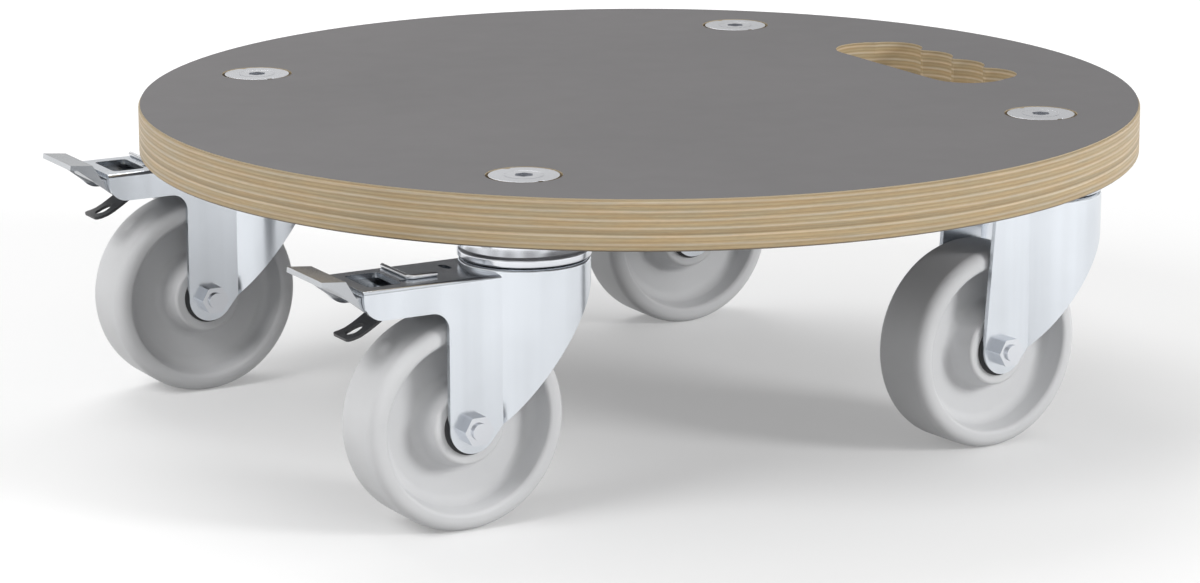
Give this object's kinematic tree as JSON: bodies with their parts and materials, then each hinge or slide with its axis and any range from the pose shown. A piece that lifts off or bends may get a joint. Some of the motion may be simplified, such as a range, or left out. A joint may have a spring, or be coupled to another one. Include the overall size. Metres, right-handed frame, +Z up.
{
  "type": "plant caddy",
  "caption": "Round plywood plant caddy with a scalloped grip hole, on swivel casters with grey wheels, the casters at one side with total-lock brake pedals.",
  "frame": {"origin": "on the floor, under the centre of the round deck", "axes": "+Z up, +X from the deck's centre to its grip hole, +Y to the left of that"},
  "size_m": [0.5056, 0.5, 0.16],
  "materials": {
    "birch_ply": "clear sealed multi-ply edge",
    "anti_slip_film": "satin phenolic film",
    "zinc_disc": "bright zinc plated",
    "zinc_fastener": "bright zinc plated",
    "hardened_steel": "ground and oiled",
    "zinc_cap": "bright zinc plated",
    "zinc_fork": "bright zinc plated, pressed sheet",
    "grey_wheel": "satin moulded",
    "dark_bush": "moulded",
    "black_lever": "black coated strip",
    "spring_wire": "bright drawn wire"
  },
  "bodies": {
    "deck": {"deck_panel": "birch_ply", "top_film": "anti_slip_film", "fastening_discs": "zinc_disc", "deck_bolts": "zinc_fastener", "deck_nuts": "zinc_fastener", "kingpins": "zinc_fastener", "kingpin_washers": "zinc_fastener", "upper_race_rings": "hardened_steel", "lower_race_cups": "zinc_fastener", "locking_rings": "hardened_steel", "front_head_cap": "zinc_cap", "left_head_cap": "zinc_cap", "back_head_cap": "zinc_cap", "right_head_cap": "zinc_cap"},
    "front_swivel": {"front_fork": "zinc_fork", "front_upper_balls": "hardened_steel", "front_lower_balls": "hardened_steel", "front_axle_tube": "zinc_fastener", "front_axle_bolt": "zinc_fastener", "front_axle_nut": "zinc_fastener", "front_pedal_pin": "zinc_fastener", "front_plate_pin": "zinc_fastener", "front_brake_spring": "spring_wire"},
    "front_wheel": {"front_wheel": "grey_wheel", "front_wheel_bushes": "dark_bush"},
    "front_pedal": {"front_pedal": "zinc_fork"},
    "front_brake_plate": {"front_brake_plate": "zinc_fork", "front_release_lever": "black_lever"},
    "left_swivel": {"left_fork": "zinc_fork", "left_upper_balls": "hardened_steel", "left_lower_balls": "hardened_steel", "left_axle_tube": "zinc_fastener", "left_axle_bolt": "zinc_fastener", "left_axle_nut": "zinc_fastener", "left_pedal_pin": "zinc_fastener", "left_plate_pin": "zinc_fastener", "left_brake_spring": "spring_wire"},
    "left_wheel": {"left_wheel": "grey_wheel", "left_wheel_bushes": "dark_bush"},
    "left_pedal": {"left_pedal": "zinc_fork"},
    "left_brake_plate": {"left_brake_plate": "zinc_fork", "left_release_lever": "black_lever"},
    "back_swivel": {"back_fork": "zinc_fork", "back_upper_balls": "hardened_steel", "back_lower_balls": "hardened_steel", "back_axle_tube": "zinc_fastener", "back_axle_bolt": "zinc_fastener", "back_axle_nut": "zinc_fastener"},
    "back_wheel": {"back_wheel": "grey_wheel", "back_wheel_bushes": "dark_bush"},
    "right_swivel": {"right_fork": "zinc_fork", "right_upper_balls": "hardened_steel", "right_lower_balls": "hardened_steel", "right_axle_tube": "zinc_fastener", "right_axle_bolt": "zinc_fastener", "right_axle_nut": "zinc_fastener"},
    "right_wheel": {"right_wheel": "grey_wheel", "right_wheel_bushes": "dark_bush"}
  },
  "joints": [
    {"name": "front_swivel_turn", "type": "hinge", "parent": "deck", "child": "front_swivel", "pos_m": [-0.144, -0.144, 0.12], "axis": [0, 0, 1], "continuous": true},
    {"name": "front_wheel_spin", "type": "hinge", "parent": "front_swivel", "child": "front_wheel", "pos_m": [-0.1818, -0.144, 0.05], "axis": [0, 1, 0], "continuous": true},
    {"name": "front_pedal_press", "type": "hinge", "parent": "front_swivel", "child": "front_pedal", "pos_m": [-0.214, -0.144, 0.112], "axis": [0, -1, 0], "range_deg": [0, 14]},
    {"name": "front_plate_tilt", "type": "hinge", "parent": "front_swivel", "child": "front_brake_plate", "pos_m": [-0.19, -0.144, 0.112], "axis": [0, -1, 0], "range_deg": [0, 3.8]},
    {"name": "left_swivel_turn", "type": "hinge", "parent": "deck", "child": "left_swivel", "pos_m": [-0.144, 0.144, 0.12], "axis": [0, 0, 1], "continuous": true},
    {"name": "left_wheel_spin", "type": "hinge", "parent": "left_swivel", "child": "left_wheel", "pos_m": [-0.1818, 0.144, 0.05], "axis": [0, 1, 0], "continuous": true},
    {"name": "left_pedal_press", "type": "hinge", "parent": "left_swivel", "child": "left_pedal", "pos_m": [-0.214, 0.144, 0.112], "axis": [0, -1, 0], "range_deg": [0, 14]},
    {"name": "left_plate_tilt", "type": "hinge", "parent": "left_swivel", "child": "left_brake_plate", "pos_m": [-0.19, 0.144, 0.112], "axis": [0, -1, 0], "range_deg": [0, 3.8]},
    {"name": "back_swivel_turn", "type": "hinge", "parent": "deck", "child": "back_swivel", "pos_m": [0.144, 0.144, 0.12], "axis": [0, 0, 1], "continuous": true},
    {"name": "back_wheel_spin", "type": "hinge", "parent": "back_swivel", "child": "back_wheel", "pos_m": [0.1062, 0.144, 0.05], "axis": [0, 1, 0], "continuous": true},
    {"name": "right_swivel_turn", "type": "hinge", "parent": "deck", "child": "right_swivel", "pos_m": [0.144, -0.144, 0.12], "axis": [0, 0, 1], "continuous": true},
    {"name": "right_wheel_spin", "type": "hinge", "parent": "right_swivel", "child": "right_wheel", "pos_m": [0.10634, -0.14729, 0.05], "axis": [-0.0872, 0.9962, 0], "continuous": true}
  ],
  "couplings": [
    {"joint": "front_plate_tilt", "follows": "front_pedal_press", "ratio": 0.27},
    {"joint": "left_plate_tilt", "follows": "left_pedal_press", "ratio": 0.27}
  ]
}
